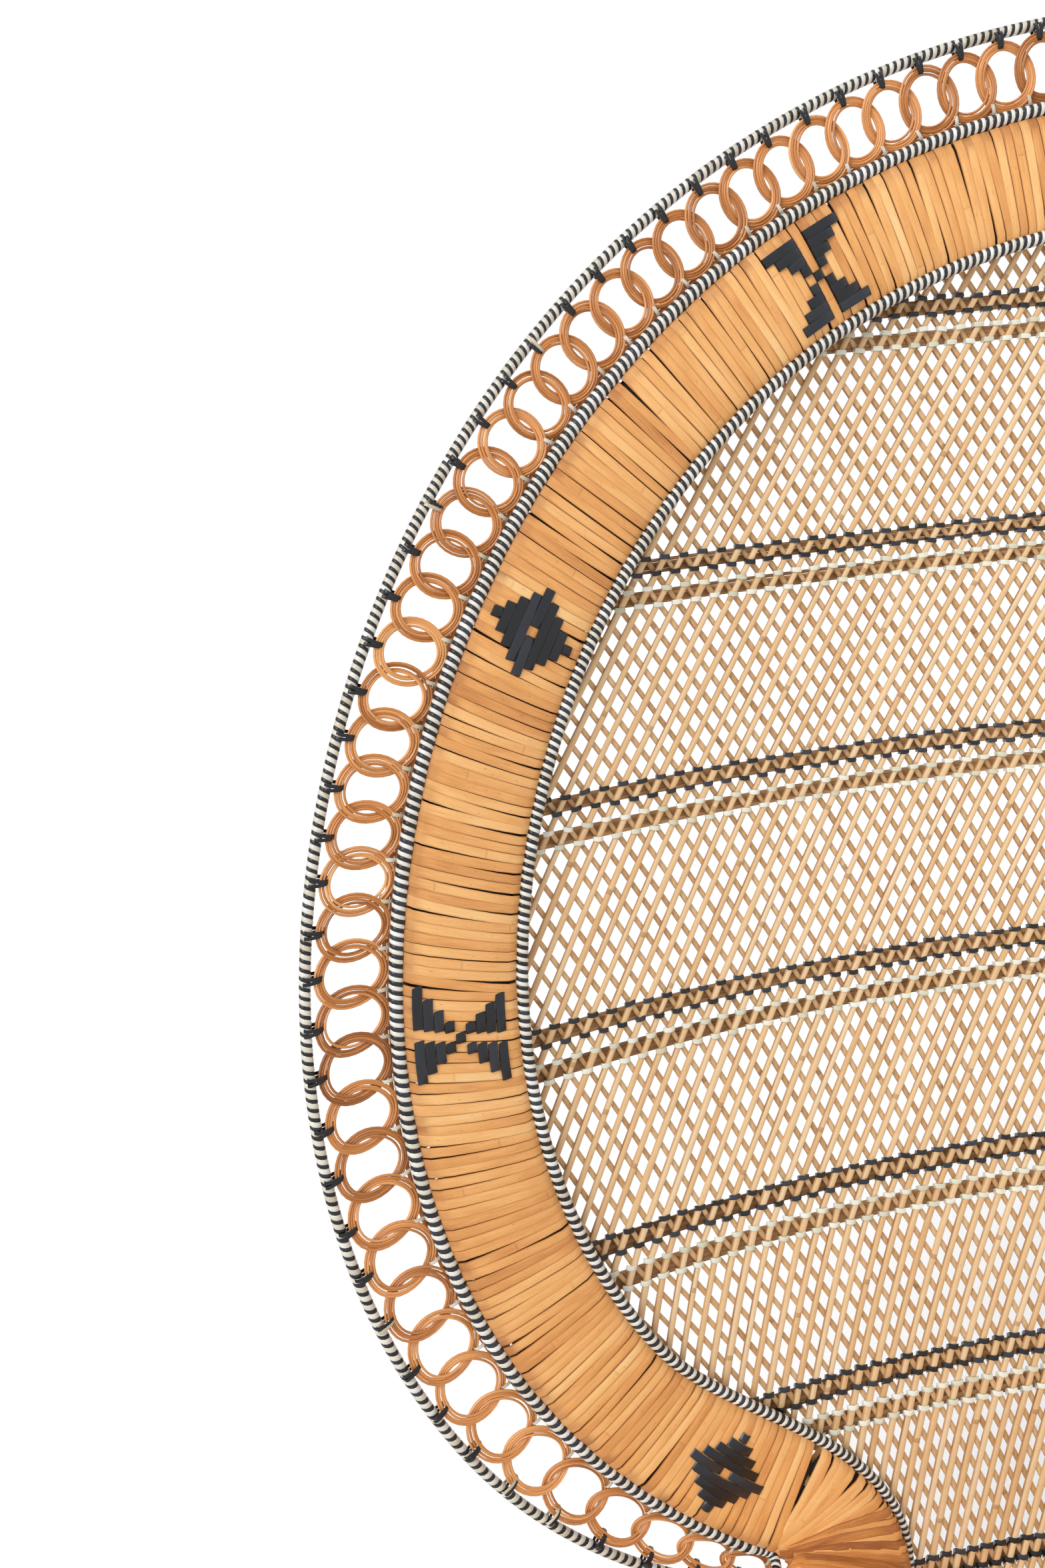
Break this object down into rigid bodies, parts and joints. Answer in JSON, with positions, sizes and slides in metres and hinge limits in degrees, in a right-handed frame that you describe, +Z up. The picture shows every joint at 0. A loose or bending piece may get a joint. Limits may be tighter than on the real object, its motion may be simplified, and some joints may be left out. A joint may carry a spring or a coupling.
{
  "type": "peacock chair",
  "caption": "Round fan-backed cane armchair with a ring-chain border, open stick lattice back, wrapped arms and tub seat on an hourglass foot.",
  "frame": {"origin": "centre of the chair's overall box in plan, at floor level", "axes": "+Z up from the floor, the sitter faces -Y, +X to the right of someone who looks at the chair's front"},
  "size_m": [1.1034, 0.7486, 1.5604],
  "materials": {
    "honey_cane": "satin peeled cane strip, woven and wrapped",
    "straw_cane": "matt round cane sticks and poles",
    "brown_cane": "satin red-brown round cane",
    "tied_cane": "round cane tied with black and natural strip",
    "wound_cane": "glossy black and cream strip wound round a cane core"
  },
  "bodies": {
    "root": {"outer_rim_left": "wound_cane", "outer_rim_right": "wound_cane", "mid_rim_left": "wound_cane", "mid_rim_right": "wound_cane", "inner_rim_left": "wound_cane", "inner_rim_right": "wound_cane", "ring_chain_left": "brown_cane", "ring_chain_right": "brown_cane", "ring_cane_left": "brown_cane", "ring_cane_right": "brown_cane", "fan_band_left": "honey_cane", "fan_band_right": "honey_cane", "inner_frame_pole_left": "straw_cane", "inner_frame_pole_right": "straw_cane", "outer_frame_pole_left": "straw_cane", "outer_frame_pole_right": "straw_cane", "arm_band_left": "honey_cane", "arm_band_right": "honey_cane", "arm_outer_rim_left": "wound_cane", "arm_outer_rim_right": "wound_cane", "arm_inner_rim_left": "wound_cane", "arm_inner_rim_right": "wound_cane", "side_sticks_outer_left": "straw_cane", "side_sticks_outer_right": "straw_cane", "side_sticks_inner_left": "straw_cane", "side_sticks_inner_right": "straw_cane", "lattice_front_layer": "straw_cane", "lattice_back_layer": "straw_cane", "belt_1": "tied_cane", "belt_2": "tied_cane", "belt_3": "tied_cane", "belt_4": "tied_cane", "belt_5": "tied_cane", "belt_6": "tied_cane", "belt_7": "tied_cane", "seat_hoop": "straw_cane", "seat_weave": "honey_cane", "apron_band": "honey_cane", "apron_top_rim": "wound_cane", "apron_bottom_rim": "wound_cane", "seat_bar_rear": "straw_cane", "seat_bar_front": "straw_cane", "foot_ring": "straw_cane", "base_top_hoop": "straw_cane", "base_sticks_outer": "straw_cane", "base_sticks_inner": "straw_cane", "base_pole_1": "straw_cane", "base_pole_2": "straw_cane", "base_pole_3": "straw_cane", "base_pole_4": "straw_cane", "base_pole_5": "straw_cane", "base_pole_6": "straw_cane", "base_pole_7": "straw_cane", "base_pole_8": "straw_cane", "waist_hoop": "honey_cane", "waist_bottom_rim": "wound_cane", "waist_top_rim": "wound_cane", "foot_band": "honey_cane", "foot_bottom_rim": "wound_cane", "foot_top_rim": "wound_cane"}
  },
  "joints": []
}
